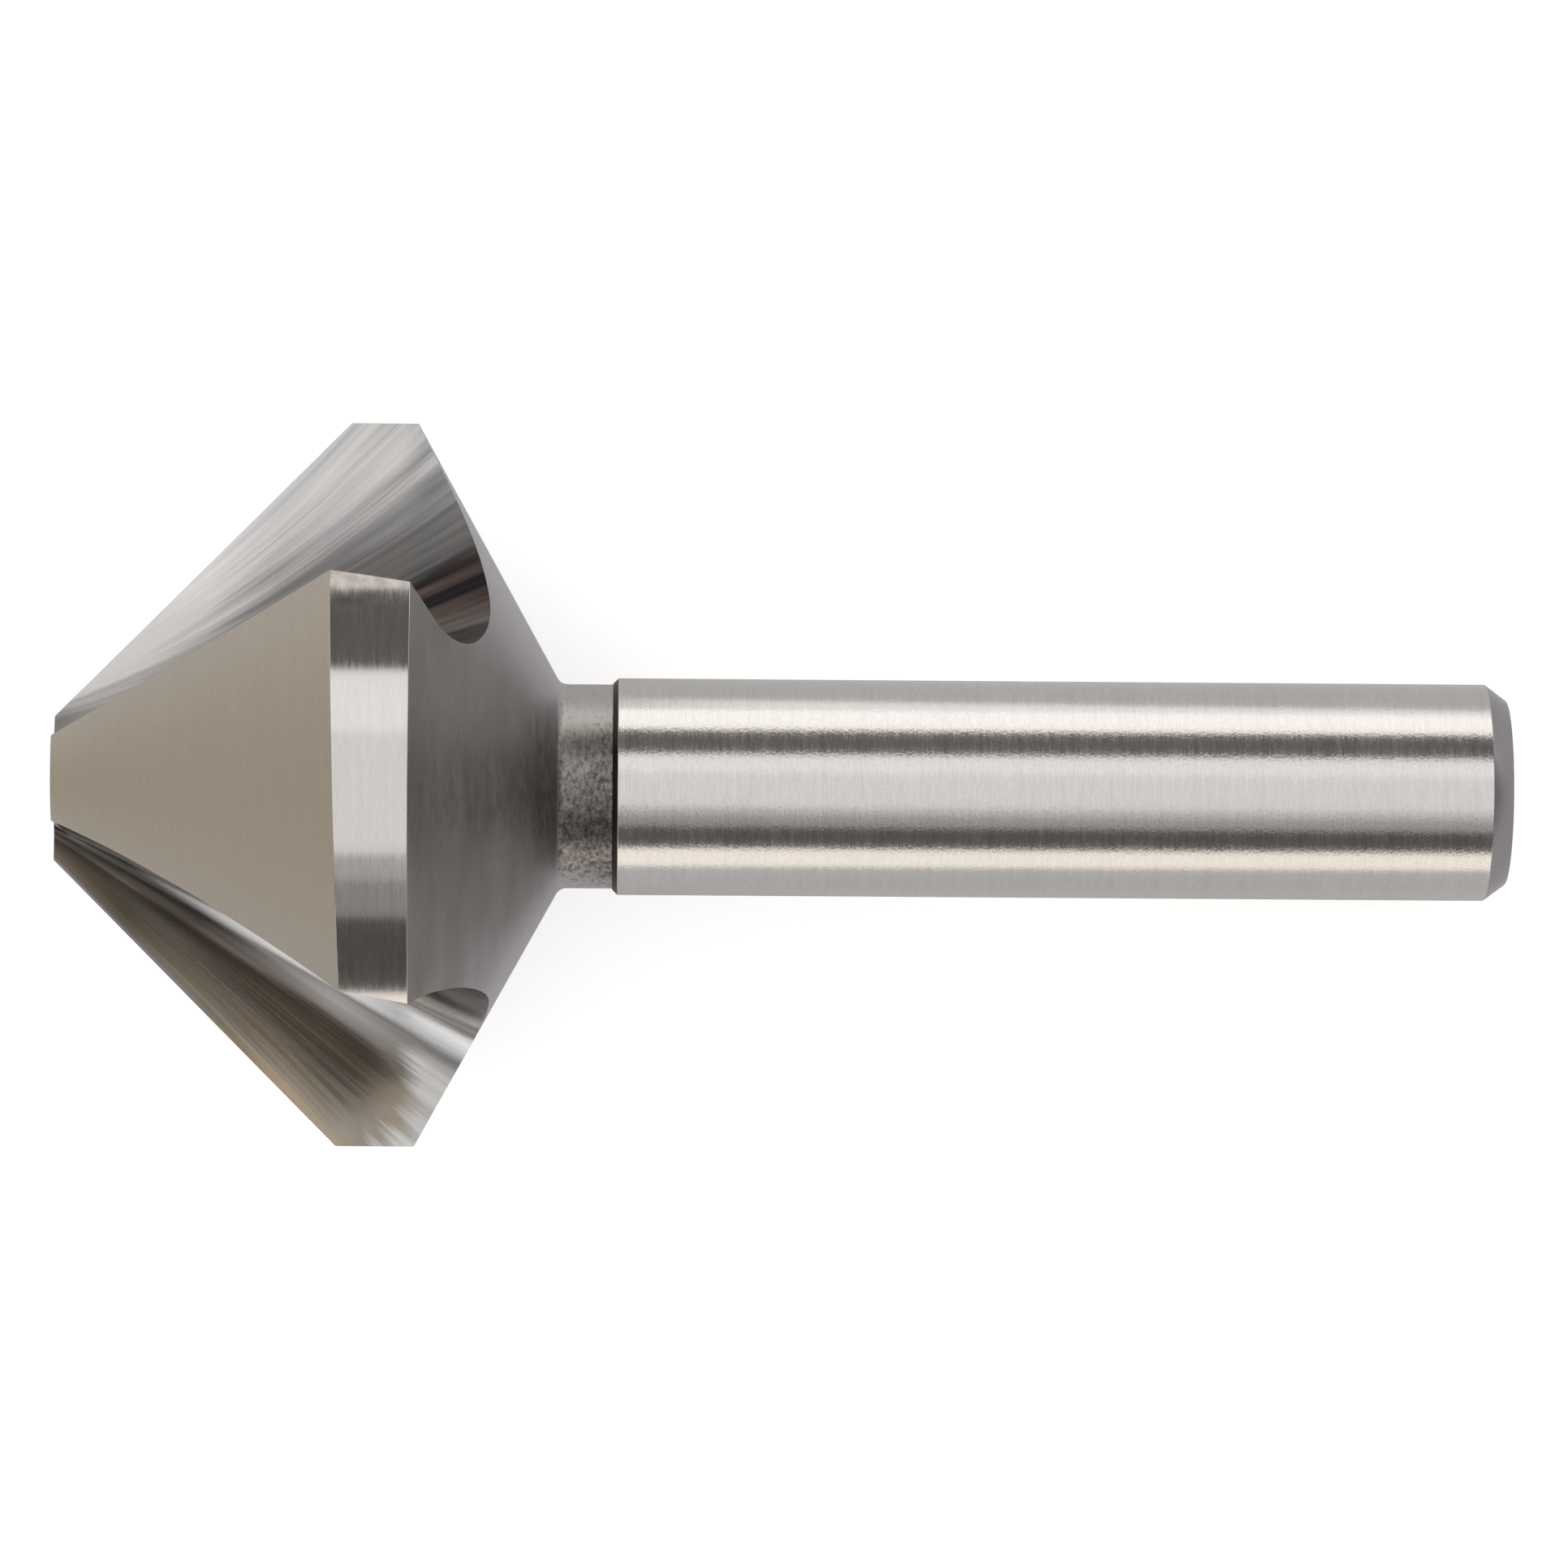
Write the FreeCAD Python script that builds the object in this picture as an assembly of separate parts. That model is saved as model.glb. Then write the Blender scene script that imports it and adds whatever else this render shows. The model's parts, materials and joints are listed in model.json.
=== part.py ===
import FreeCAD
import Part
import math
import os

Vector = FreeCAD.Vector

# Three-flute countersink bit for deburring holes and sinking screw heads, ground in one piece from
# a bar of high-speed steel. It cuts right-handed: seen from the shank it turns clockwise.
# Lengths are in millimetres and angles in degrees.

# Head
head_diameter = 40.0
included_angle = 90.0
nose_diameter = 8.6
margin_length = 4.3
back_cone_angle = 61.0

# Neck and shank
neck_diameter = 11.3
neck_length = 2.9
neck_fillet = 0.6
shank_diameter = 12.0
shank_length = 49.5
shank_step_chamfer = 0.3
end_chamfer_length = 1.2
end_chamfer_depth = 0.9

# Lands: each falls away from its cutting edge to its heel
cutting_edge_azimuth = 35.3
land_angle = 68.3
relief_drop = 0.63

# Flutes: each runs from a grinding section ahead of the nose to one behind the margin
flute_count = 3
flute_lead_in = 1.0
flute_run_out = 6.0
rake_azimuth = 37.0
heel_sweep = 70.0

# Section ahead of the nose, with its root set out from the tool's axis along the rake and across it
nose_root_along = 2.4
nose_root_across = 0.03
nose_root_radius = 0.5
nose_root_turn = 94.7
nose_heel_radius = 19.2
nose_rake_lean = 3.0

# Section behind the margin, where the flute is wider
tail_root_along = 21.0
tail_root_across = -2.5
tail_root_radius = 6.9
tail_root_turn = 100.7
tail_heel_radius = 22.8
tail_rake_lean = 10.6

# Corners and edges of the finished tool are told apart within this distance
tolerance = 0.001

head_radius = head_diameter / 2
nose_radius = nose_diameter / 2
neck_radius = neck_diameter / 2
shank_radius = shank_diameter / 2
flute_pitch = 360.0 / flute_count
cone_slope = math.tan(math.radians(included_angle / 2))
back_slope = math.tan(math.radians(back_cone_angle))

# Stations along the tool's axis, from the nose at 0 to the end of the shank
margin_front = (head_radius - nose_radius) / cone_slope
margin_rear = margin_front + margin_length
neck_front = margin_rear + (head_radius - neck_radius) / back_slope
shank_front = neck_front + neck_length
shank_end = shank_front + shank_length
end_chamfer_front = shank_end - end_chamfer_length

# The tool is built along +X. Azimuths start straight up and turn towards +Y, the way the tool cuts.
along_tool = Vector(1, 0, 0)
cutting_turn = Vector(-1, 0, 0)


def around(azimuth):
    return Vector(0, math.sin(math.radians(azimuth)), math.cos(math.radians(azimuth)))


def turned_body():
    outline = Part.makePolygon([
        Vector(0, 0, 0),
        Vector(0, 0, nose_radius),
        Vector(margin_front, 0, head_radius),
        Vector(margin_rear, 0, head_radius),
        Vector(neck_front, 0, neck_radius),
        Vector(shank_front, 0, neck_radius),
        Vector(shank_front, 0, shank_radius - shank_step_chamfer),
        Vector(shank_front + shank_step_chamfer, 0, shank_radius),
        Vector(end_chamfer_front, 0, shank_radius),
        Vector(shank_end, 0, shank_radius - end_chamfer_depth),
        Vector(shank_end, 0, 0),
        Vector(0, 0, 0),
    ])
    body = Part.Face(outline).revolve(Vector(0, 0, 0), along_tool, 360)
    corner = [edge for edge in body.Edges if is_neck_corner(edge)]
    return body.makeFillet(neck_fillet, corner)


def is_neck_corner(edge):
    # The circle where the back cone meets the neck
    box = edge.BoundBox
    at_corner = abs(box.Center.x - neck_front) < tolerance
    return at_corner and box.XLength < tolerance and box.ZLength > neck_radius


def relief_cutter(turn):
    # Takes the steel in front of a cone whose axis stands off the tool's axis, a quarter turn ahead of
    # the land's middle, so that the land keeps its full size only at the cutting edge
    land_middle = cutting_edge_azimuth - land_angle / 2 + turn
    offset = relief_drop / 2 / math.sin(math.radians(land_angle / 2))
    cone_base = around(land_middle + 90) * offset
    start_way = around(land_middle - flute_pitch / 2)
    front = -flute_lead_in
    rear = margin_front + relief_drop + offset
    front_radius = nose_radius - relief_drop / 2 + front * cone_slope
    rear_radius = nose_radius - relief_drop / 2 + rear * cone_slope
    outline = Part.makePolygon([
        cone_base + along_tool * front + start_way * front_radius,
        cone_base + along_tool * rear + start_way * rear_radius,
        cone_base + along_tool * front + start_way * rear_radius,
        cone_base + along_tool * front + start_way * front_radius,
    ])
    return Part.Face(outline).revolve(cone_base, cutting_turn, flute_pitch)


def flute_section(station, root_along, root_across, root_radius, root_turn, heel_radius, rake_lean):
    # Straight rake face, small root arc and a large arc up to the heel, closed outside the head
    rake_way = rake_azimuth + rake_lean

    def on_arc(centre, radius, turned):
        return centre + around(rake_way - 90 - turned) * radius

    def arc(centre, radius, first, last):
        points = [on_arc(centre, radius, turned) for turned in (first, (first + last) / 2, last)]
        return Part.Arc(*points).toShape()

    root_start = around(rake_azimuth) * root_along + around(rake_azimuth + 90) * root_across
    root_start += along_tool * station
    root_centre = root_start + around(rake_way + 90) * root_radius
    root_end = on_arc(root_centre, root_radius, root_turn)
    heel_centre = root_end + (root_centre - root_end) * (heel_radius / root_radius)
    heel_turn = root_turn + heel_sweep
    heel_end = on_arc(heel_centre, heel_radius, heel_turn)
    heel_tip = heel_end + around(rake_way - 180 - heel_turn) * head_radius
    rake_tip = root_start + around(rake_way) * head_diameter
    return Part.Wire([
        Part.makeLine(rake_tip, root_start),
        arc(root_centre, root_radius, 0, root_turn),
        arc(heel_centre, heel_radius, root_turn, heel_turn),
        Part.makeLine(heel_end, heel_tip),
        Part.makeLine(heel_tip, rake_tip),
    ])


def flute_cutter():
    nose_section = flute_section(
        -flute_lead_in,
        nose_root_along,
        nose_root_across,
        nose_root_radius,
        nose_root_turn,
        nose_heel_radius,
        nose_rake_lean,
    )
    tail_section = flute_section(
        margin_rear + flute_run_out,
        tail_root_along,
        tail_root_across,
        tail_root_radius,
        tail_root_turn,
        tail_heel_radius,
        tail_rake_lean,
    )
    return Part.makeLoft([nose_section, tail_section], True, True)


def ground_tool():
    tool = turned_body()
    flute = flute_cutter()
    for index in range(flute_count):
        turn = index * flute_pitch
        tool = tool.cut(flute.rotated(Vector(0, 0, 0), cutting_turn, turn))
        tool = tool.cut(relief_cutter(turn))
    return tool


def at_rest(tool):
    # The tool lies with one flute down, on that flute's two corners at the back of the margin and on
    # the rim of the shank's end chamfer
    corners = sorted(margin_corners(tool), key=lambda point: point.z)[:2]
    azimuths = [math.degrees(math.atan2(point.y, point.z)) % 360 for point in corners]
    roll = 180 - sum(azimuths) / 2
    half_opening = abs(azimuths[0] - azimuths[1]) / 2
    corner_depth = head_radius * math.cos(math.radians(half_opening))
    tilt = math.degrees(math.atan2(corner_depth - shank_radius, end_chamfer_front - margin_rear))
    laid = tool.rotated(Vector(0, 0, 0), cutting_turn, roll)
    laid = laid.rotated(Vector(0, 0, 0), Vector(0, 1, 0), tilt)
    box = laid.optimalBoundingBox(False, False)
    return laid.translated(Vector(-box.Center.x, -box.Center.y, -box.ZMin))


def margin_corners(tool):
    for vertex in tool.Vertexes:
        point = vertex.Point
        radius = math.hypot(point.y, point.z)
        if abs(point.x - margin_rear) < tolerance and abs(radius - head_radius) < tolerance:
            yield point


os.makedirs("parts", exist_ok=True)
countersink_bit = at_rest(ground_tool())
countersink_bit.exportStep("parts/countersink_bit.step")
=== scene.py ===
import json
import math

import bmesh
import bpy
from mathutils import Matrix, Vector


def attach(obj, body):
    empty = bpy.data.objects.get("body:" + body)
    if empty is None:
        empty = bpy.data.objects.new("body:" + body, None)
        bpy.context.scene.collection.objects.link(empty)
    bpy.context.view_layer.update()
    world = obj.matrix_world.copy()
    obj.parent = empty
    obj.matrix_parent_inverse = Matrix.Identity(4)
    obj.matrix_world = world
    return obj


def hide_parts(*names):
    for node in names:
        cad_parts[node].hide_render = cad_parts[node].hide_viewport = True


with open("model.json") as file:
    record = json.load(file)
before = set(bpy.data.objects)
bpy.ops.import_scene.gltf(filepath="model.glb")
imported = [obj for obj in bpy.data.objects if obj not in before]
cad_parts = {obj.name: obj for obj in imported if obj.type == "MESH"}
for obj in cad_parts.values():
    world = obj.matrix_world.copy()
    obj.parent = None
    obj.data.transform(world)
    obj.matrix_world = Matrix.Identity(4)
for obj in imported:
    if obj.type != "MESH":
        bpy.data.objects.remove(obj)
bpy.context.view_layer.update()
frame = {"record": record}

mm = 0.001
near = 0.01                  # millimetres within which two stations are the same
scene = bpy.context.scene

# Sizes of the tool in millimetres, along its axis from the nose and out from its axis
tool = {
    "headRadius": 20.0,
    "noseRadius": 4.3,
    "coneHalfAngle": 45.0,
    "marginLength": 4.3,
    "backConeAngle": 61.0,
    "neckRadius": 5.65,
    "neckLength": 2.9,
    "neckFillet": 0.6,
    "shankRadius": 6.0,
    "shankLength": 49.5,
    "stepChamfer": 0.3,
    "endChamferLength": 1.2,
    "endChamferDepth": 0.9,
    "edgeRadius": 0.05,      # what is left of the corners that aren't cutting edges
    "stepsRound": 480,
}

lands = {
    "count": 3,
    "cuttingEdge": 35.3,     # degrees round from straight up, towards +Y
    "angle": 68.3,
    "reliefDrop": 0.63,
    "roll": 1.452,           # how far the tool has rolled to lie on two corners
}

flute = {
    "leadIn": 1.0,           # the cut starts this far ahead of the nose
    "runOut": 6.0,           # and ends this far behind the margin
    "rakeAzimuth": 37.0,
    "heelSweep": 70.0,
    "nose": {"along": 2.4, "across": 0.03, "root": 0.5, "turn": 94.7, "heel": 19.2, "lean": 3.0},
    "tail": {"along": 21.0, "across": -2.5, "root": 6.9, "turn": 100.7, "heel": 22.8, "lean": 10.6},
    "rootSteps": 24,
    "heelSteps": 48,
    "lengthSteps": 40,
}

# The wheel's marks fan out along each flute from a point ahead of the nose. Their map gives a place
# across that fan and, in lengths of the map, along the tool.
marks = {"middle": 1.0, "fanPoint": 8.0, "mapLength": 40.0}

# Stations along the axis
marginFront = (tool["headRadius"] - tool["noseRadius"]) / math.tan(math.radians(tool["coneHalfAngle"]))
marginRear = marginFront + tool["marginLength"]
backConeLength = (tool["headRadius"] - tool["neckRadius"]) / math.tan(math.radians(tool["backConeAngle"]))
neckFront = marginRear + backConeLength
shankFront = neckFront + tool["neckLength"]
shankEnd = shankFront + tool["shankLength"]
endChamferFront = shankEnd - tool["endChamferLength"]

# Where the tool lies comes from the shank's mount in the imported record
shankMount = next(mount for mount in frame["record"]["mounts"] if mount["name"] == "shank")
toolAxis = Vector(shankMount["axis"]).normalized()
shankMiddle = (shankFront + tool["stepChamfer"] + endChamferFront) / 2
nosePlace = Vector(shankMount["pos_m"]) - toolAxis * shankMiddle * mm
toolUp = Vector((-toolAxis.z, 0, toolAxis.x))
layDown = Matrix.Translation(nosePlace) @ Matrix((
    (toolAxis.x, 0, toolUp.x, 0),
    (0, 1, 0, 0),
    (toolAxis.z, 0, toolUp.z, 0),
    (0, 0, 0, 1),
))

surfaces = [
    "noseFace",
    "cuttingLand",
    "margin",
    "backCone",
    "neck",
    "shankStep",
    "shank",
    "endChamfer",
    "endFace",
    "flute",
]


def around(azimuth):
    return Vector((0, math.sin(math.radians(azimuth)), math.cos(math.radians(azimuth))))


def makeTurnedBody():
    bm = bmesh.new()
    edgeRadius = tool["edgeRadius"]
    # Station, radius, rounding and its steps for each corner of the turned outline
    outline = [
        (0, 0, 0, 1),
        (0, tool["noseRadius"], 0, 1),
        (marginFront, tool["headRadius"], edgeRadius, 3),
        (marginRear, tool["headRadius"], edgeRadius, 3),
        (neckFront, tool["neckRadius"], tool["neckFillet"], 8),
        (shankFront, tool["neckRadius"], 0, 1),
        (shankFront, tool["shankRadius"] - tool["stepChamfer"], 0, 1),
        (shankFront + tool["stepChamfer"], tool["shankRadius"], edgeRadius, 2),
        (endChamferFront, tool["shankRadius"], edgeRadius * 2, 3),
        (shankEnd, tool["shankRadius"] - tool["endChamferDepth"], edgeRadius * 2, 3),
        (shankEnd, 0, 0, 1),
    ]
    corners = [bm.verts.new((station, 0, out)) for station, out, rounding, steps in outline]
    for first, second in zip(corners, corners[1:]):
        bm.edges.new((first, second))
    for corner, (station, out, rounding, steps) in zip(corners[1:-1], outline[1:-1]):
        if rounding:
            before, after = (edge.other_vert(corner).co - corner.co for edge in corner.link_edges)
            setBack = rounding * math.tan((math.pi - before.angle(after)) / 2)
            bmesh.ops.bevel(
                bm, geom=[corner], offset=setBack, offset_type="OFFSET", segments=steps,
                profile=0.5, affect="VERTICES", material=-1,
            )
    bmesh.ops.spin(
        bm, geom=bm.verts[:] + bm.edges[:], cent=(0, 0, 0), axis=(1, 0, 0),
        angle=math.tau, steps=tool["stepsRound"], use_merge=True,
    )
    bmesh.ops.remove_doubles(bm, verts=bm.verts, dist=0.0005)
    return bm


def relieve(bm):
    # The cone falls away from each cutting edge to its heel, as if its axis stood a little to one side
    middle = lands["cuttingEdge"] - lands["angle"] / 2
    offset = lands["reliefDrop"] / 2 / math.sin(math.radians(lands["angle"] / 2))
    pitch = 360 / lands["count"]
    frontCorner = marginFront + 2 * tool["edgeRadius"]
    for vert in bm.verts:
        if vert.co.x > frontCorner:
            continue
        azimuth = math.degrees(math.atan2(vert.co.y, vert.co.z))
        turn = (azimuth - middle + pitch / 2) % pitch - pitch / 2
        fall = lands["reliefDrop"] / 2 - offset * math.sin(math.radians(turn))
        if vert.co.x < near:
            out = Vector((0, vert.co.y, vert.co.z))
            vert.co -= out.normalized() * fall
        else:
            vert.co.x += fall


def markSurfaces(bm):
    # Each face's surface goes by its station, and by the way it faces where two surfaces meet
    behindCorner = 0.02
    for face in bm.faces:
        x = face.calc_center_median().x
        if abs(face.normal.x) > 0.99:
            name = "noseFace" if x < 1 else "endFace" if x > shankEnd - 1 else "shankStep"
        elif x < marginFront and face.normal.x < -0.5:
            name = "cuttingLand"
        elif x < marginRear + behindCorner:
            name = "margin"
        elif x < neckFront - 0.1:
            name = "backCone"
        elif x < shankFront - near:
            name = "neck"
        elif x < shankFront + tool["stepChamfer"] * 0.9:
            name = "shankStep"
        elif x < endChamferFront:
            name = "shank"
        else:
            name = "endChamfer"
        face.material_index = surfaces.index(name)


def fluteOutline(bm, station, section, across):
    # Rake line, root arc, heel arc and a straight run out of the head, as one closed loop
    rakeAzimuth = flute["rakeAzimuth"]
    rakeWay = rakeAzimuth + section["lean"]
    rootStart = around(rakeAzimuth) * section["along"] + around(rakeAzimuth + 90) * section["across"]
    rootStart += Vector((station, 0, 0))
    rootCentre = rootStart + around(rakeWay + 90) * section["root"]
    rootEnd = rootCentre + around(rakeWay - 90 - section["turn"]) * section["root"]
    heelCentre = rootEnd + (rootCentre - rootEnd) * (section["heel"] / section["root"])
    heelTurn = section["turn"] + flute["heelSweep"]
    rakeTip = bm.verts.new(rootStart + around(rakeWay) * tool["headRadius"] * 2)
    root = bm.verts.new(rootStart)
    rakeLine = bm.edges.new((rakeTip, root))

    def sweep(vert, centre, degrees, steps):
        swept = bmesh.ops.spin(
            bm, geom=[vert], cent=centre, axis=(1, 0, 0), angle=math.radians(degrees), steps=steps,
        )
        return swept["geom_last"][0]

    heel = sweep(root, rootCentre, section["turn"], flute["rootSteps"])
    heelEnd = sweep(heel, heelCentre, flute["heelSweep"], flute["heelSteps"])
    heelTip = bm.verts.new(heelEnd.co + around(rakeWay - 180 - heelTurn) * tool["headRadius"])
    bm.edges.new((heelEnd, heelTip))

    # Distance across the flute from the root's start, for the marks of the grinding wheel
    last = rakeTip
    last[across] = -rakeLine.calc_length()
    edge = rakeLine
    while last is not heelTip:
        vert = edge.other_vert(last)
        vert[across] = last[across] + edge.calc_length()
        edge = next((other for other in vert.link_edges if other is not edge), None)
        last = vert
    bm.edges.new((heelTip, rakeTip))
    return [edge for edge in bm.edges if abs(edge.verts[0].co.x - station) < near]


def makeFluteCutter():
    bm = bmesh.new()
    across = bm.verts.layers.float.new("across")
    front = fluteOutline(bm, -flute["leadIn"], flute["nose"], across)
    back = fluteOutline(bm, marginRear + flute["runOut"], flute["tail"], across)
    bmesh.ops.bridge_loops(bm, edges=front + back)
    lengthways = [edge for edge in bm.edges if edge.calc_length() > marginRear]
    bmesh.ops.subdivide_edges(bm, edges=lengthways, cuts=flute["lengthSteps"], use_grid_fill=True)
    bmesh.ops.holes_fill(bm, edges=[edge for edge in bm.edges if edge.is_boundary], sides=0)
    bmesh.ops.recalc_face_normals(bm, faces=bm.faces)
    grind = bm.loops.layers.uv.new("grind")
    for face in bm.faces:
        face.material_index = surfaces.index("flute")
        for loop in face.loops:
            along = loop.vert.co.x
            fan = (loop.vert[across] - marks["middle"]) / (along + marks["fanPoint"])
            loop[grind].uv = (fan, along / marks["mapLength"])
    return bm


def asObject(bm, name, turn=0.0):
    bm.transform(Matrix.Rotation(math.radians(turn), 4, (-1, 0, 0)))
    mesh = bpy.data.meshes.new(name)
    bm.to_mesh(mesh)
    piece = bpy.data.objects.new(name, mesh)
    scene.collection.objects.link(piece)
    return piece


def grindFlutes(body):
    cutters = []
    for index in range(lands["count"]):
        cutter = asObject(makeFluteCutter(), "fluteCutter", index * 360 / lands["count"])
        cut = body.modifiers.new("cutFlute", "BOOLEAN")
        cut.operation = "DIFFERENCE"
        cut.solver = "EXACT"
        cut.material_mode = "INDEX"
        cut.object = cutter
        cutters.append(cutter)
    bpy.context.view_layer.update()
    ready = body.evaluated_get(bpy.context.evaluated_depsgraph_get())
    ground = bpy.data.meshes.new_from_object(ready)
    body.modifiers.clear()
    body.data = ground
    for cutter in cutters:
        bpy.data.objects.remove(cutter)


def makeTool():
    turnedBody = makeTurnedBody()
    relieve(turnedBody)
    turnedBody.normal_update()
    bmesh.ops.recalc_face_normals(turnedBody, faces=turnedBody.faces)
    markSurfaces(turnedBody)
    turnedBody.loops.layers.uv.new("grind")
    body = asObject(turnedBody, "ground_countersink")
    for name in surfaces:
        body.data.materials.append(materials[name])
    grindFlutes(body)
    roll = Matrix.Rotation(math.radians(lands["roll"]), 4, (-1, 0, 0))
    body.data.transform(layDown @ Matrix.Scale(mm, 4) @ roll)
    body.data.shade_smooth()
    body.data.set_sharp_from_angle(angle=math.radians(28))
    weighted = body.modifiers.new("flatFaces", "WEIGHTED_NORMAL")
    weighted.mode = "FACE_AREA"
    weighted.weight = 80
    weighted.keep_sharp = True
    return body


class Knob:
    # A socket of a material's graph: an expression on it adds its Math nodes
    def __init__(self, graph, socket):
        self.graph = graph
        self.socket = socket

    def math(self, operation, first, second):
        return self.graph.add("ShaderNodeMath", {"operation": operation}, {0: first, 1: second})

    def __add__(self, other):
        return self.math("ADD", self, other)

    def __radd__(self, other):
        return self.math("ADD", other, self)

    def __sub__(self, other):
        return self.math("SUBTRACT", self, other)

    def __rsub__(self, other):
        return self.math("SUBTRACT", other, self)

    def __mul__(self, other):
        return self.math("MULTIPLY", self, other)

    def __rmul__(self, other):
        return self.math("MULTIPLY", other, self)

    def __truediv__(self, other):
        return self.math("DIVIDE", self, other)

    def __rtruediv__(self, other):
        return self.math("DIVIDE", other, self)


class Graph:
    def __init__(self, tree):
        self.tree = tree
        self.tree.nodes.clear()

    def add(self, kind, settings=None, sockets=None, out=0):
        node = self.tree.nodes.new(kind)
        for name, value in (settings or {}).items():
            if name == "stops":
                self.setStops(node.color_ramp, value)
            else:
                setattr(node, name, value)
        for key, value in (sockets or {}).items():
            if isinstance(value, Knob):
                self.tree.links.new(value.socket, node.inputs[key])
            else:
                node.inputs[key].default_value = value
        return Knob(self, node.outputs[out]) if node.outputs else node

    def setStops(self, ramp, stops):
        while len(ramp.elements) < len(stops):
            ramp.elements.new(1.0)
        for element, (place, colour) in zip(ramp.elements, stops):
            element.position = place
            element.color = rgb(*colour)

    def separate(self, place, axes):
        # The first one, two or three coordinates of a place
        return [self.add("ShaderNodeSeparateXYZ", {}, {0: place}, out=axis) for axis in range(axes)]

    def noise(self, place, detail, roughness):
        sockets = {"Vector": place, "Scale": 1.0, "Detail": detail, "Roughness": roughness}
        return self.add("ShaderNodeTexNoise", {}, sockets)

    def spread(self, value, low, high, newLow=0.0, newHigh=1.0):
        sockets = {"Value": value, "From Min": low, "From Max": high, "To Min": newLow, "To Max": newHigh}
        return self.add("ShaderNodeMapRange", {"clamp": True}, sockets)

    def blend(self, share, first, second):
        # Sockets 6, 7 and 2 are the Mix node's two colours and the colour it gives
        sockets = {0: share, 6: first, 7: second}
        return self.add("ShaderNodeMix", {"data_type": "RGBA"}, sockets, out=2)


def rgb(red, green, blue):
    return (red, green, blue, 1.0)


def shade(colour, amount):
    return rgb(*(min(channel * amount, 1.0) for channel in colour))


def newMaterial(name):
    material = bpy.data.materials.new(name)
    material.use_nodes = True
    return material, Graph(material.node_tree)


def toolPlace(graph):
    # Object coordinates turned into the tool's own frame, in millimetres
    tilt = math.atan2(-toolAxis.z, toolAxis.x)
    return graph.add("ShaderNodeMapping", {"vector_type": "TEXTURE"}, {
        "Vector": graph.add("ShaderNodeTexCoord", out="Object"),
        "Location": nosePlace,
        "Rotation": (0, tilt, 0),
        "Scale": (mm, mm, mm),
    })


def finishSteel(graph, colour, roughness, bumpStrength, bumpDepth, height):
    normal = graph.add("ShaderNodeBump", {}, {
        "Strength": bumpStrength,
        "Distance": bumpDepth * mm,
        "Height": height,
    })
    shader = graph.add("ShaderNodeBsdfPrincipled", {}, {
        "Base Color": colour,
        "Metallic": 1.0,
        "Roughness": roughness,
        "Normal": normal,
    })
    graph.add("ShaderNodeOutputMaterial", {}, {"Surface": shader})


# The surfaces ground or turned round the axis. Streak is how far the fine lines lighten and darken the
# steel, grooves how deep they look, and the flank colour down the sides is a painted reflection of the
# paper.
looks = {
    "noseFace": {"colour": (0.55, 0.53, 0.50), "roughness": 0.35, "streak": 0.06, "grooves": 0.2},
    "cuttingLand": {"colour": (0.525, 0.495, 0.45), "roughness": 0.36, "streak": 0.05, "grooves": 0.25},
    "margin": {
        "colour": (0.60, 0.585, 0.57),
        "roughness": 0.12,
        "streak": 0.05,
        "grooves": 0.12,
        # painted reflection: the margin darkens down its +Y side
        "darkSideReflection": (0.20, 0.185, 0.175),
    },
    "backCone": {
        "colour": (0.27, 0.255, 0.255),
        "roughness": 0.38,
        "streak": 0.14,
        "grooves": 0.3,
        "flankReflection": (0.55, 0.54, 0.585),
        # darker clouds over the upper part of the back cone
        "upperClouds": (0.17, 0.15, 0.14),
    },
    "neck": {
        "colour": (0.30, 0.285, 0.275),
        "roughness": 0.36,
        "streak": 0.12,
        "grooves": 0.3,
        "flankReflection": (0.52, 0.51, 0.52),
        "pits": (0.04, 0.035, 0.035),
    },
    # The step's near-black colour is painted shade, the shadow of the undercut at the shank's start
    "shankStep": {"colour": (0.07, 0.055, 0.04), "roughness": 0.4, "streak": 0.1, "grooves": 0.2},
    "shank": {
        "colour": (0.62, 0.61, 0.605),
        "roughness": 0.18,
        "streak": 0.07,
        "grooves": 0.3,
        "grain": (0.3, 0.29, 0.29),
    },
    "endChamfer": {"colour": (0.36, 0.345, 0.36), "roughness": 0.25, "streak": 0.04, "grooves": 0.1},
    "endFace": {"colour": (0.55, 0.54, 0.55), "roughness": 0.3, "streak": 0.05, "grooves": 0.2},
}

# Where the patches of those surfaces lie, in millimetres of the tool's own frame. Upward is one on top
# of the tool and zero at its sides, lean tips a patch towards -Y, and it fades in between two places.
patches = {
    # painted reflection: paler down the sides, where the steel mirrors the paper
    "flankReflection": {"upward": (0.75, 0.03)},
    "upperClouds": {"lean": 0.6, "height": (2.0, 8.0), "upward": (0.2, 0.5), "strength": (0.15, 0.6)},
    # painted reflection, darker down the margin's +Y side
    "darkSideReflection": {"wander": 3.0, "side": (11.4, 13.2), "strength": 0.75},
    "pits": {
        "lean": 0.35,
        "rise": 0.5,                    # they stand lower by this much for each millimetre to the shank
        "height": (3.6, 6.6),
        "crowding": 0.3,
        "noise": (0.56, 0.90),
        "strength": 0.85,
    },
    "grain": {"height": 0.8, "strength": 0.1},
}

# Noise steps per millimetre, along the tool and across it, with the noise's detail and roughness
turnedMarks = {
    "fineLines": (14.0, 1.1, 2.0, 0.6),
    "longLines": (3.0, 0.15, 2.0, 0.5),
    "upperClouds": (0.7, 0.12, 2.0, 0.5),
    "darkSideReflection": (0.9, 0.9, 3.0, 0.6),
    "pits": (4.5, 3.0, 3.0, 0.7),
    "grain": (7.0, 6.0, 2.0, 0.6),
}
usual = (0.35, 0.65)         # most of a noise's values lie between these


def turnedNoise(graph, name):
    along, across, detail, roughness = turnedMarks[name]
    stretched = graph.add("ShaderNodeMapping", {}, {
        "Vector": toolPlace(graph),
        "Scale": (along, across, across),
    })
    return graph.noise(stretched, detail, roughness)


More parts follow.
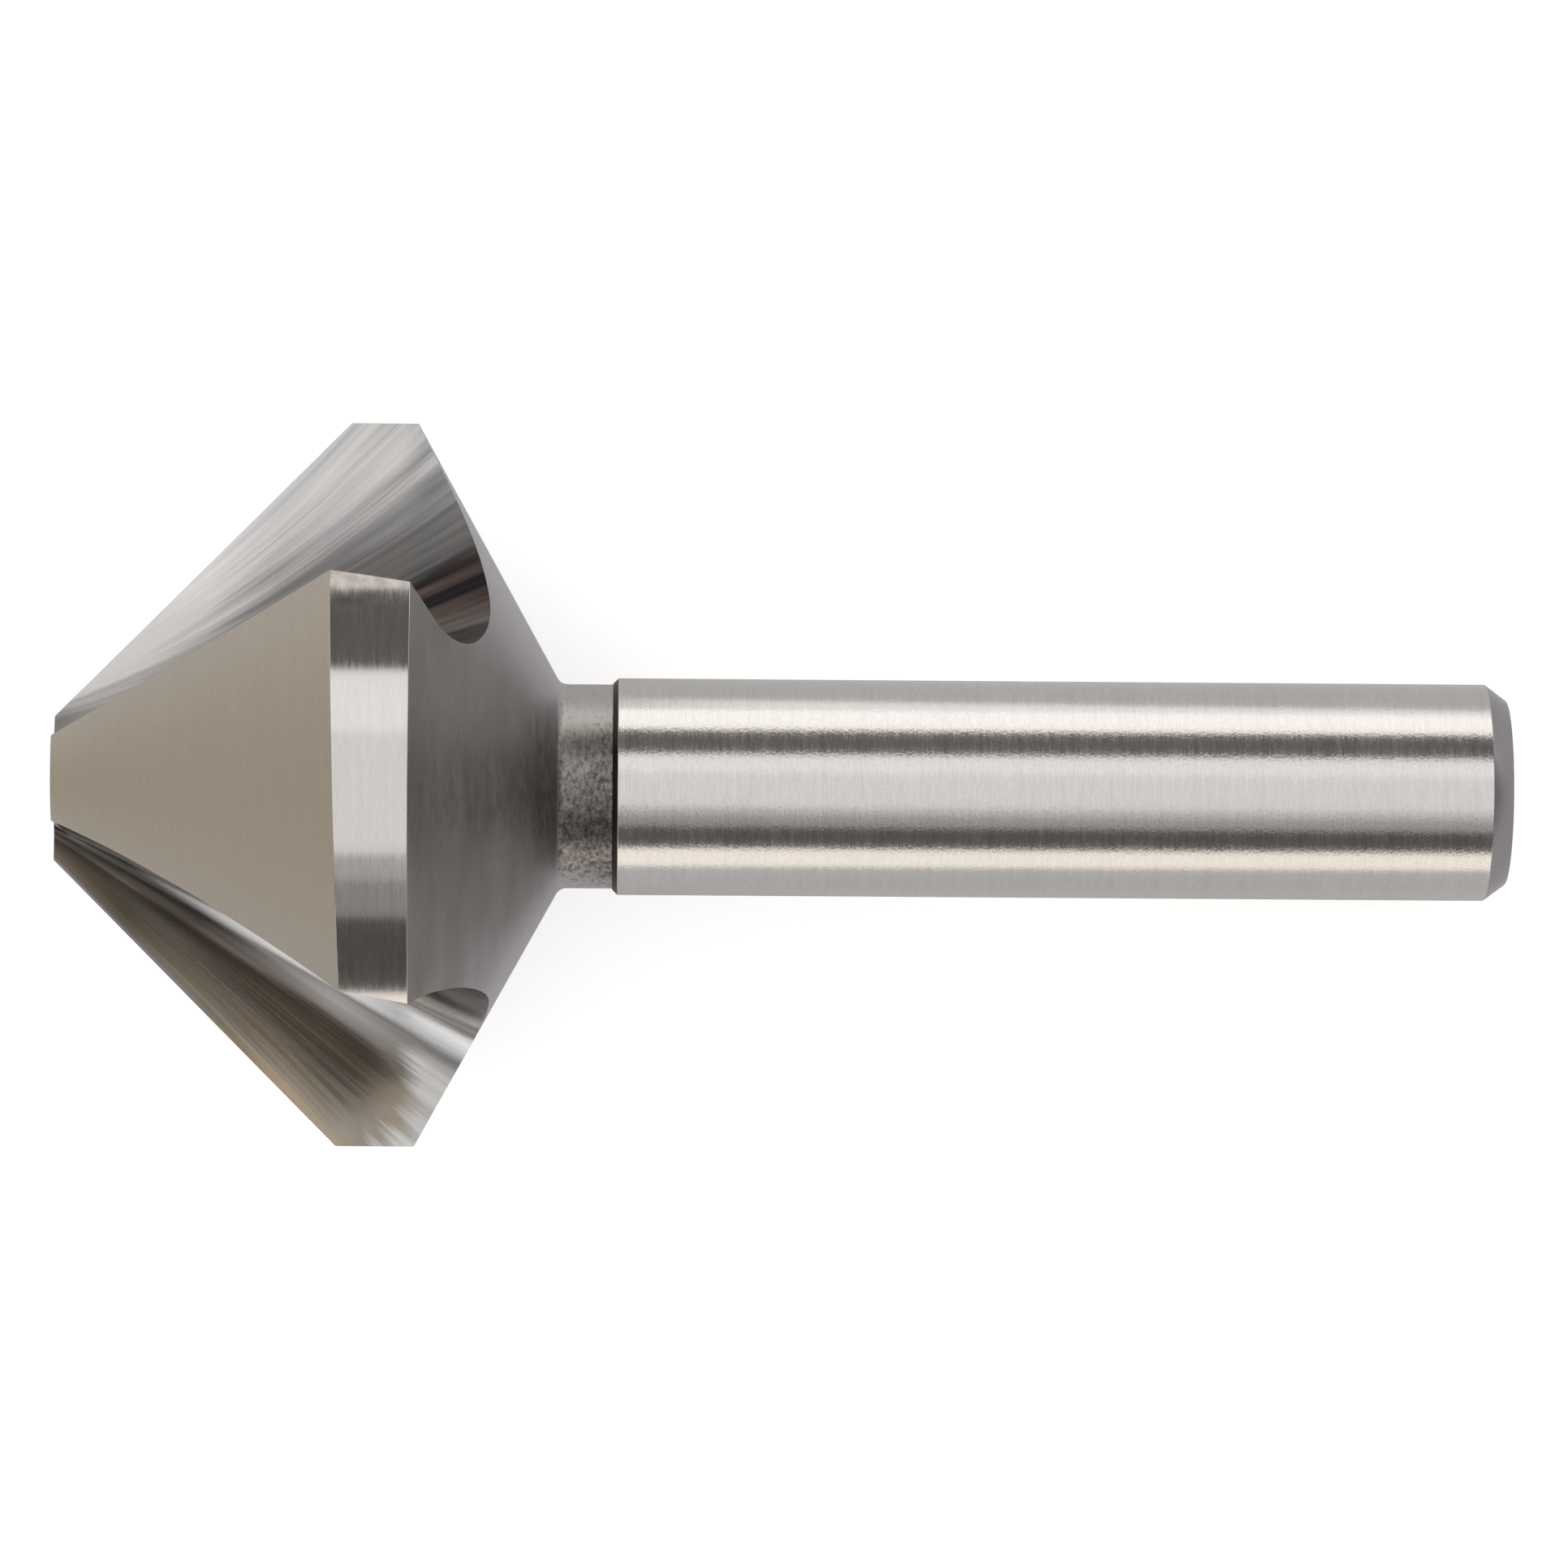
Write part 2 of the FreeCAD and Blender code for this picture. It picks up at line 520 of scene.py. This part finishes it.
def makeGroundSteel(name, look):
    # Steel ground or turned round its axis: short fine lines run round the tool
    material, graph = newMaterial(name)
    lines = turnedNoise(graph, "fineLines") * 0.65 + turnedNoise(graph, "longLines") * 0.35
    colour = graph.blend(
        graph.spread(lines, *usual),
        shade(look["colour"], 1 - look["streak"]),
        shade(look["colour"], 1 + look["streak"]),
    )
    rough = graph.spread(lines, *usual, look["roughness"] * 0.8, look["roughness"] * 1.2)
    height = lines
    along, side, top = graph.separate(toolPlace(graph), 3)
    upward = top * top / (top * top + side * side)
    # Painted reflection: towards the sides the colour pales, as where the steel mirrors the paper
    if "flankReflection" in look:
        share = graph.spread(upward, *patches["flankReflection"]["upward"])
        colour = graph.blend(share, colour, rgb(*look["flankReflection"]))
    # Darker clouds over the upper part, leaning towards -Y
    if "upperClouds" in look:
        upperClouds = patches["upperClouds"]
        cloud = graph.spread(turnedNoise(graph, "upperClouds"), *usual, *upperClouds["strength"])
        high = graph.spread(top - side * upperClouds["lean"], *upperClouds["height"])
        share = cloud * high * graph.spread(upward, *upperClouds["upward"])
        colour = graph.blend(share, colour, rgb(*look["upperClouds"]))
    # Painted reflection: the margin darkens down its +Y side, its edge moved by noise
    if "darkSideReflection" in look:
        darkSideReflection = patches["darkSideReflection"]
        edge = side + turnedNoise(graph, "darkSideReflection") * darkSideReflection["wander"]
        share = graph.spread(edge, *darkSideReflection["side"], 0.0, darkSideReflection["strength"])
        colour = graph.blend(share, colour, rgb(*look["darkSideReflection"]))
    if "pits" in look:
        pits = patches["pits"]
        level = top - side * pits["lean"] + (along - neckFront) * pits["rise"]
        pitted = turnedNoise(graph, "pits") + graph.spread(level, *pits["height"], 0.0, pits["crowding"])
        share = graph.spread(pitted, *pits["noise"], 0.0, pits["strength"])
        colour = graph.blend(share, colour, rgb(*look["pits"]))
    if "grain" in look:
        grain = turnedNoise(graph, "grain")
        height = lines + grain * patches["grain"]["height"]
        share = graph.spread(grain, *usual, 0.0, patches["grain"]["strength"])
        colour = graph.blend(share, colour, rgb(*look["grain"]))
    finishSteel(graph, colour, rough, look["grooves"], 0.03, height)
    return material


# Places on the flute: across is the fan's own measure, from below zero at the cutting edge over the
# root near zero to one at the heel, and along is in millimetres from the nose. A patch fades in
# between its two places, and wander is how far the wheel's marks move its edge.
fluteLook = {
    # the tones across the flute are mostly painted reflection and shade, over the steel's straw tint
    "tintsAndReflections": {
        "across": (-0.35, 0.15),
        "stops": [
            (0.10, (0.56, 0.49, 0.375)),
            (0.32, (0.60, 0.515, 0.39)),
            (0.50, (0.66, 0.55, 0.41)),
            (0.60, (0.60, 0.49, 0.37)),
            (0.68, (0.23, 0.20, 0.18)),
            (0.76, (0.30, 0.285, 0.28)),
            (0.82, (0.60, 0.59, 0.575)),
            (0.90, (0.62, 0.61, 0.60)),
        ],
        "wander": {"broad": 0.06, "wide": 0.08},
    },
    "nearNose": {"along": (1.0, 4.0), "shift": 0.07},       # the tones move across towards the nose
    "rakeEnd": (0.03, 0.11),
    "rootStart": (-0.12, 0.0),
    "heelStart": (0.18, 0.30),
    "noseShade": {
        "colour": (0.03, 0.026, 0.023),
        "strength": 0.8,
        "along": (4.0, 12.0),
        "rootReach": 4.0,               # it reaches this much further at the root
        "rootGain": 0.1,
    },
    "rearShade": {
        "colour": (0.13, 0.12, 0.11),
        "strength": 0.72,
        "along": (13.0, 17.0),
        "across": (-0.16, -0.06),
        "rootDelay": 2.2,               # it starts this much later at the root
    },
    # painted shade beside the root
    "besideRootShade": {
        "colour": (0.13, 0.125, 0.12),
        "strength": 0.5,
        "along": (15.0, 19.0),
        "start": (0.07, 0.10),
        "end": (0.22, 0.16),
    },
    # painted silvery reflection on the rake face towards the margin
    "silverReflection": {
        "colour": (0.47, 0.465, 0.46),
        "across": (-0.22, -0.08),
        "along": (17.4, 19.1),          # where it starts at those two places across
        "fade": 1.2,
        "contrast": 1.6,
        "wander": {"fine": 2.0, "broad": 4.0},
    },
    "contrast": {
        "rakeToRoot": (0.0, 0.1),
        "rake": 0.5,
        "root": 0.8,
        "rootToHeel": (0.1, 0.35),
        "behindNose": (5.0, 13.0),
        "heelGain": 0.9,
    },
    "warm": {"colour": (0.60, 0.47, 0.38), "strength": 0.3, "marks": (0.55, 0.72), "rakeShare": 0.3},
    "cool": {"colour": (0.42, 0.44, 0.52), "strength": 0.3, "marks": (0.56, 0.7)},
    # painted shade along the root
    "rootLineShade": {
        "colour": (0.12, 0.115, 0.12),
        "strength": 0.76,
        "depth": (0.19, 0.36),
        "leads": [((0.0, 14.0), 0.28), ((14.0, 24.0), 0.14)],   # how far it moves across on its way
        "wander": {"broad": 0.35, "wide": 0.2},
        "rear": (16.0, 22.0),
        "rearShare": 0.75,
    },
    # painted shade on the heel side, midway along the flute
    "heelShade": {
        "colour": (0.12, 0.12, 0.12),
        "strength": 0.45,
        "along": (8.5, 12.5),
        "end": (0.5, 0.95),
        "endStrength": 0.03,
    },
    "darkLines": {
        "colour": (0.12, 0.12, 0.135),
        "strength": 0.6,
        "marks": (0.54, 0.68),
        "along": (8.0, 12.0),
        "end": (0.9, 0.5),
    },
    # painted shade at the tip by the nose
    "tipShade": {
        "colour": (0.10, 0.10, 0.10),
        "strength": 0.75,
        "along": (0.5, 4.0),
        "start": (0.12, 0.16),
        "end": (0.42, 0.24),
        "wander": {"fine": 3.0},
    },
    # painted shade in the run-out behind the margin, streaked between two dark tones
    "runOut": {
        "colours": [(0.03, 0.028, 0.032), (0.22, 0.165, 0.15)],
        "strength": 0.92,
        "depth": (0.09, 0.0),
        "along": (16.0, 19.0),
        "marks": (0.42, 0.60),
    },
    "roughness": (0.17, 0.28),
    "grooves": 0.2,
    "shallow": {"across": (0.05, 0.3), "share": 0.2},       # the grooves are this shallow on the rake face
    "spreading": 0.025,                 # the marks spread this much faster than the flute, per millimetre
}

# Noise steps across the fan and along the map, with the noise's detail
wheelMarks = {
    "fine": (160.0, 6.0, 1.5),
    "broad": (30.0, 2.4, 3.0),
    "wide": (11.0, 1.6, 1.0),
    "warm": (7.0, 3.0, 1.0),
    "cool": (9.0, 2.0, 1.0),
    "darkLines": (70.0, 3.0, 2.0),
    "runOut": (34.0, 1.6, 2.0),
}


def makeFluteSteel(look):
    # Wheel marks fan out along each flute. Its tones are mostly painted reflection and shade over a straw
    # tint:
    # a straw-coloured rake face, a dark root, a bright heel side and a dark run-out behind the margin
    material, graph = newMaterial("fluteSteel")
    fan, run = graph.separate(graph.add("ShaderNodeUVMap", {"uv_map": "grind"}), 2)
    along = run * marks["mapLength"]
    spreadFan = fan / (along * look["spreading"] + 1.0)
    spreadPlace = graph.add("ShaderNodeCombineXYZ", {}, {0: spreadFan, 1: run})

    def marksAt(name):
        fanScale, runScale, detail = wheelMarks[name]
        stretched = graph.add("ShaderNodeMapping", {}, {
            "Vector": spreadPlace,
            "Scale": (fanScale, runScale, 1.0),
        })
        return graph.noise(stretched, detail, 0.55)

    wheel = {name: marksAt(name) for name in wheelMarks}
    streaks = wheel["fine"] * 0.45 + wheel["broad"] * 0.55

    def wander(patch):
        return sum((wheel[name] - 0.5) * share for name, share in look[patch]["wander"].items())

    def fade(value, patch, key):
        return graph.spread(value, *look[patch][key])

    def fadeIn(value, patch, key):
        # From nothing to the patch's strength
        return graph.spread(value, *look[patch][key], 0.0, look[patch]["strength"])

    def fadeOut(value, patch, key):
        return graph.spread(value, *look[patch][key], look[patch]["strength"], 0.0)

    def tint(colour, share, patch):
        return graph.blend(share, colour, rgb(*look[patch]["colour"]))

    # Tones across the flute, with painted shade darker towards the nose and beside the root, and a painted
    # silvery reflection at the margin
    nearNose = graph.spread(along, *look["nearNose"]["along"], look["nearNose"]["shift"], 0.0)
    colour = graph.add("ShaderNodeValToRGB", {"stops": look["tintsAndReflections"]["stops"]}, {
        0: fade(fan + nearNose + wander("tintsAndReflections"), "tintsAndReflections", "across"),
    })
    rakeSide = graph.spread(fan + nearNose, *look["rakeEnd"], 1.0, 0.0)
    rootSide = graph.spread(fan, *look["rootStart"])
    noseShade = fadeOut(along - rootSide * look["noseShade"]["rootReach"], "noseShade", "along")
    noseShade = noseShade * (rootSide * look["noseShade"]["rootGain"] + 1.0)
    colour = tint(colour, noseShade * rakeSide, "noseShade")
    rearDelay = fade(fan, "rearShade", "across") * look["rearShade"]["rootDelay"]
    colour = tint(colour, fadeIn(along - rearDelay, "rearShade", "along") * rakeSide, "rearShade")
    # Painted shade beside the root
    besideRootShade = fade(fan, "besideRootShade", "start") * fade(fan, "besideRootShade", "end")
    colour = tint(colour, besideRootShade * fadeIn(along, "besideRootShade", "along"), "besideRootShade")
    # Painted silvery reflection towards the margin
    silverStart = graph.spread(fan, *look["silverReflection"]["across"], *look["silverReflection"]["along"])
    silverReflection = graph.spread(along - silverStart + wander("silverReflection"), 0.0, look["silverReflection"]["fade"])
    colour = tint(colour, silverReflection, "silverReflection")

    # Streaks of the wheel, with faint heat tints
    heelContrast = fade(fan, "contrast", "rootToHeel") * fade(along, "contrast", "behindNose")
    rakeToRoot = look["contrast"]["rakeToRoot"]
    contrast = graph.spread(fan, *rakeToRoot, look["contrast"]["rake"], look["contrast"]["root"])
    contrast = contrast + heelContrast * look["contrast"]["heelGain"]
    silverStreaks = (wheel["broad"] - 0.5) * silverReflection * look["silverReflection"]["contrast"]
    gain = (streaks - 0.5) * contrast + silverStreaks + 1.0
    colour = graph.add("ShaderNodeVectorMath", {"operation": "SCALE"}, {0: colour, "Scale": gain})
    warm = fadeIn(wheel["warm"], "warm", "marks")
    warm = warm * graph.spread(fan, 0.0, 0.3, look["warm"]["rakeShare"], 1.0)
    colour = tint(colour, warm * (1.0 - silverReflection), "warm")
    colour = tint(colour, fadeIn(wheel["cool"], "cool", "marks"), "cool")

    # Painted shade: the line along the root and the run-out darken towards the margin's rear corner
    heelSide = graph.spread(fan, *look["heelStart"])
    lead = sum(graph.spread(along, *reach, 0.0, shift) for reach, shift in look["rootLineShade"]["leads"])
    depth = fan - lead + wander("rootLineShade")
    rear = graph.spread(along, *look["rootLineShade"]["rear"], 1.0, look["rootLineShade"]["rearShare"])
    colour = tint(colour, fadeOut(depth, "rootLineShade", "depth") * rear * heelSide, "rootLineShade")
    # Painted shade on the heel side, midway along
    heelShadeEnd = graph.spread(fan, *look["heelShade"]["end"], look["heelShade"]["strength"], look["heelShade"]["endStrength"])
    colour = tint(colour, fade(along, "heelShade", "along") * heelShadeEnd * heelSide, "heelShade")
    darkLines = fadeIn(wheel["darkLines"], "darkLines", "marks") * fade(fan, "darkLines", "end")
    colour = tint(colour, darkLines * fade(along, "darkLines", "along") * heelSide, "darkLines")
    # Painted shade at the tip by the nose
    tipShade = fadeOut(along + wander("tipShade"), "tipShade", "along")
    colour = tint(colour, tipShade * fade(fan, "tipShade", "start") * fade(fan, "tipShade", "end"), "tipShade")
    # Painted shade in the run-out behind the margin
    runOut = fadeIn(depth, "runOut", "depth") * fade(along, "runOut", "along") * heelSide
    darkTone, warmTone = (rgb(*tone) for tone in look["runOut"]["colours"])
    runOutShadeTone = graph.blend(fade(wheel["runOut"], "runOut", "marks"), darkTone, warmTone)
    colour = graph.blend(runOut, colour, runOutShadeTone)

    rough = graph.spread(streaks, 0.38, 0.62, *look["roughness"])
    height = streaks * graph.spread(fan, *look["shallow"]["across"], look["shallow"]["share"], 1.0)
    finishSteel(graph, colour, rough, look["grooves"], 0.01, height)
    return material


materials = {name: makeGroundSteel(name + "Steel", look) for name, look in looks.items()}
materials["flute"] = makeFluteSteel(fluteLook)
print("materials made")

body = makeTool()
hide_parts("countersink_bit")
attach(body, "root")
print("tool ground, faces:", len(body.data.polygons))


# The studio: the camera looks square on to the tool's axis from above
studio = {
    "cameraDistance": 458.0,
    "cameraStation": 31.58,     # the camera stands over this point of the axis
    "centreStation": 40.35,     # and looks at this one
    "centreAcross": 0.21,
    "frameWidth": 86.89,
    "sensorWidth": 36.0,
    "axisSlope": 0.414,         # degrees, how far the axis falls to the right in the picture
    "lightDistance": 600.0,
    "lightStation": 20.0,
    "worldColour": (0.105, 0.1, 0.095),
}

# The paper under the tool. Its sizes are in metres, as its material reads them.
paper = {
    "size": 3.0,
    "colour": (0.8, 0.8, 0.8),
    "glow": (0.62, 1.0),                # what makes it white in the lamps' light and past their reach
    "lampReach": (0.25, 0.45),
    "paintedMirrorGlow": (0.062, 0.62),          # how bright its painted glow is in the steel: a painted shadow beside the tool, painted light away from it
    "awaySide": (0.052, 0.068),
    "awayNose": (-0.016, -0.006),
}

# Soft lights square to the tool, with the degrees they span round its axis and along it from the head,
# their radiance and their colour
sidePanels = {
    "overheadLight": ((-20, 37.5), (-50, 50), 0.92, (1.0, 0.985, 0.97)),
    "overheadEdgeLight": ((17.6, 37.5), (-50, 50), 0.2, (1.0, 1.0, 1.0)),
    "overheadFadeLight": ((-28, -20), (-50, 0.5), 0.42, (1.0, 0.98, 0.96)),
    "overheadDimLight": ((-40, -28), (-50, 0.5), 0.24, (1.0, 0.96, 0.92)),
    "shankFadeLight": ((-28, -20), (0.5, 50), 0.64, (1.0, 0.98, 0.96)),
    "shankDimLight": ((-41, -28), (0.5, 50), 0.38, (1.0, 0.96, 0.92)),
    "noseOverheadLight": ((37.5, 50), (-60, -22), 1.0, (1.0, 0.99, 0.98)),
    "noseSideLight": ((50, 100), (-56, -37), 1.1, (1.0, 0.98, 0.95)),
    "farSideLight": ((65, 104), (-14, 40), 1.5, (1.0, 0.955, 0.905)),
    "farFillLight": ((41, 65), (-14, 50), 0.045, (1.0, 0.97, 0.95)),
    "nearSideLight": ((-98, -66), (-25, 40), 1.3, (1.0, 0.92, 0.835)),
    "noseNearSideLight": ((-68, -38), (-33, -13), 1.3, (0.97, 0.98, 1.0)),
}

# Upright soft lights beyond an end of the tool: which way, the degrees they are wide and the elevations
# they reach, their radiance and their colour
endPanels = {
    "noseEndLight": (-1, 76, (0.5, 25), 0.52, (1.0, 0.875, 0.7)),
    "shankEndLight": (1, 100, (0.5, 35), 0.22, (1.0, 0.95, 0.95)),
}


def alongTool(station, azimuth=0.0, out=0.0):
    radial = toolUp * math.cos(math.radians(azimuth)) + Vector((0, 1, 0)) * math.sin(math.radians(azimuth))
    return nosePlace + (toolAxis * station + radial * out) * mm


def aim(thing, place, target, up):
    back = (place - target).normalized()
    right = up.cross(back).normalized()
    top = back.cross(right)
    thing.matrix_world = Matrix((
        (right.x, top.x, back.x, place.x),
        (right.y, top.y, back.y, place.y),
        (right.z, top.z, back.z, place.z),
        (0, 0, 0, 1),
    ))


def makeCamera():
    data = bpy.data.cameras.new("camera")
    camera = bpy.data.objects.new("camera", data)
    scene.collection.objects.link(camera)
    scene.camera = camera
    roll = lands["roll"]
    place = alongTool(studio["cameraStation"], roll, studio["cameraDistance"])
    target = alongTool(studio["centreStation"], roll + 90, studio["centreAcross"])
    slope = math.radians(studio["axisSlope"])
    side = alongTool(0, roll + 90, 1000) - alongTool(0)
    up = side * math.cos(slope) - toolAxis * math.sin(slope)
    aim(camera, place, target, up)
    data.sensor_width = studio["sensorWidth"]
    data.lens = studio["sensorWidth"] * (place - target).length / (studio["frameWidth"] * mm)
    data.clip_start = 0.01
    data.clip_end = 10


def softLight(name, width, height, radiance, colour):
    data = bpy.data.lights.new(name, "AREA")
    data.shape = "RECTANGLE"
    data.size = width * mm
    data.size_y = height * mm
    data.energy = radiance * math.pi * data.size * data.size_y
    data.color = colour
    light = bpy.data.objects.new(name, data)
    light.visible_camera = False
    scene.collection.objects.link(light)
    return light


def makeSidePanel(name, azimuths, reach, radiance, colour):
    distance = studio["lightDistance"]
    middle = sum(azimuths) / 2
    half = math.radians(azimuths[1] - azimuths[0]) / 2
    near, far = (distance * math.tan(math.radians(angle)) for angle in reach)
    light = softLight(name, far - near, 2 * distance * math.tan(half), radiance, colour)
    station = studio["lightStation"] + (near + far) / 2
    place = alongTool(station, middle, distance)
    target = alongTool(station)
    aim(light, place, target, toolAxis.cross((place - target).normalized()))


def makeEndPanel(name, side, width, heights, radiance, colour):
    distance = studio["lightDistance"]
    half = math.radians(width) / 2
    low, high = (math.tan(math.radians(angle)) * distance for angle in heights)
    light = softLight(name, 2 * distance * math.tan(half), high - low, radiance, colour)
    place = Vector((side * distance, 0, (low + high) / 2)) * mm
    aim(light, place, Vector((0, 0, place.z)), Vector((0, 0, 1)))


def makeFloor():
    bm = bmesh.new()
    bmesh.ops.create_grid(bm, x_segments=1, y_segments=1, size=paper["size"] / 2)
    floor = asObject(bm, "floor")
    material, graph = newMaterial("floorPaper")
    matt = graph.add("ShaderNodeBsdfDiffuse", {}, {"Color": rgb(*paper["colour"])})
    dark = graph.add("ShaderNodeEmission", {}, {"Strength": 0.0})
    glow = graph.add("ShaderNodeEmission", {}, {"Color": rgb(1, 1, 1), "Strength": 1.0})
    place = graph.add("ShaderNodeTexCoord", out="Object")

    # Past the lamps' reach the paper makes up for their light, so that it is as white up to its edge
    distance = graph.add("ShaderNodeVectorMath", {"operation": "LENGTH"}, {0: place}, out="Value")
    cameraRay = graph.add("ShaderNodeLightPath", out="Is Camera Ray")
    viewed = cameraRay * graph.spread(distance, *paper["lampReach"], *paper["glow"])

    # Mirrored in the steel, the paper shows painted light: a glow, bright away from the tool, and a painted
    # shadow dim beside it
    along, side = graph.separate(place, 2)
    paintedLightPool = graph.spread(side, *paper["awaySide"]) * graph.spread(along, *paper["awayNose"])
    glossyRay = graph.add("ShaderNodeLightPath", out="Is Glossy Ray")
    paintedMirrorGlow = glossyRay * graph.spread(paintedLightPool, 0.0, 1.0, *paper["paintedMirrorGlow"])
    seen = graph.add("ShaderNodeMath", {"operation": "MAXIMUM"}, {0: viewed, 1: paintedMirrorGlow})
    light = graph.add("ShaderNodeMixShader", {}, {0: seen, 1: dark, 2: glow})
    both = graph.add("ShaderNodeAddShader", {}, {0: matt, 1: light})
    graph.add("ShaderNodeOutputMaterial", {}, {"Surface": both})
    floor.data.materials.append(material)


def makeWorld():
    # White behind the scene for the camera, and dim for everything else
    world = bpy.data.worlds.new("studio")
    world.use_nodes = True
    scene.world = world
    graph = Graph(world.node_tree)
    cameraRay = graph.add("ShaderNodeLightPath", out="Is Camera Ray")
    dim = graph.add("ShaderNodeBackground", {}, {"Color": rgb(*studio["worldColour"]), "Strength": 1.0})
    white = graph.add("ShaderNodeBackground", {}, {"Color": rgb(1, 1, 1), "Strength": 1.0})
    mixed = graph.add("ShaderNodeMixShader", {}, {0: cameraRay, 1: dim, 2: white})
    graph.add("ShaderNodeOutputWorld", {}, {"Surface": mixed})


makeCamera()
for name, panel in sidePanels.items():
    makeSidePanel(name, *panel)
for name, panel in endPanels.items():
    makeEndPanel(name, *panel)
makeFloor()
makeWorld()
scene.view_settings.view_transform = "Standard"
print("studio made")
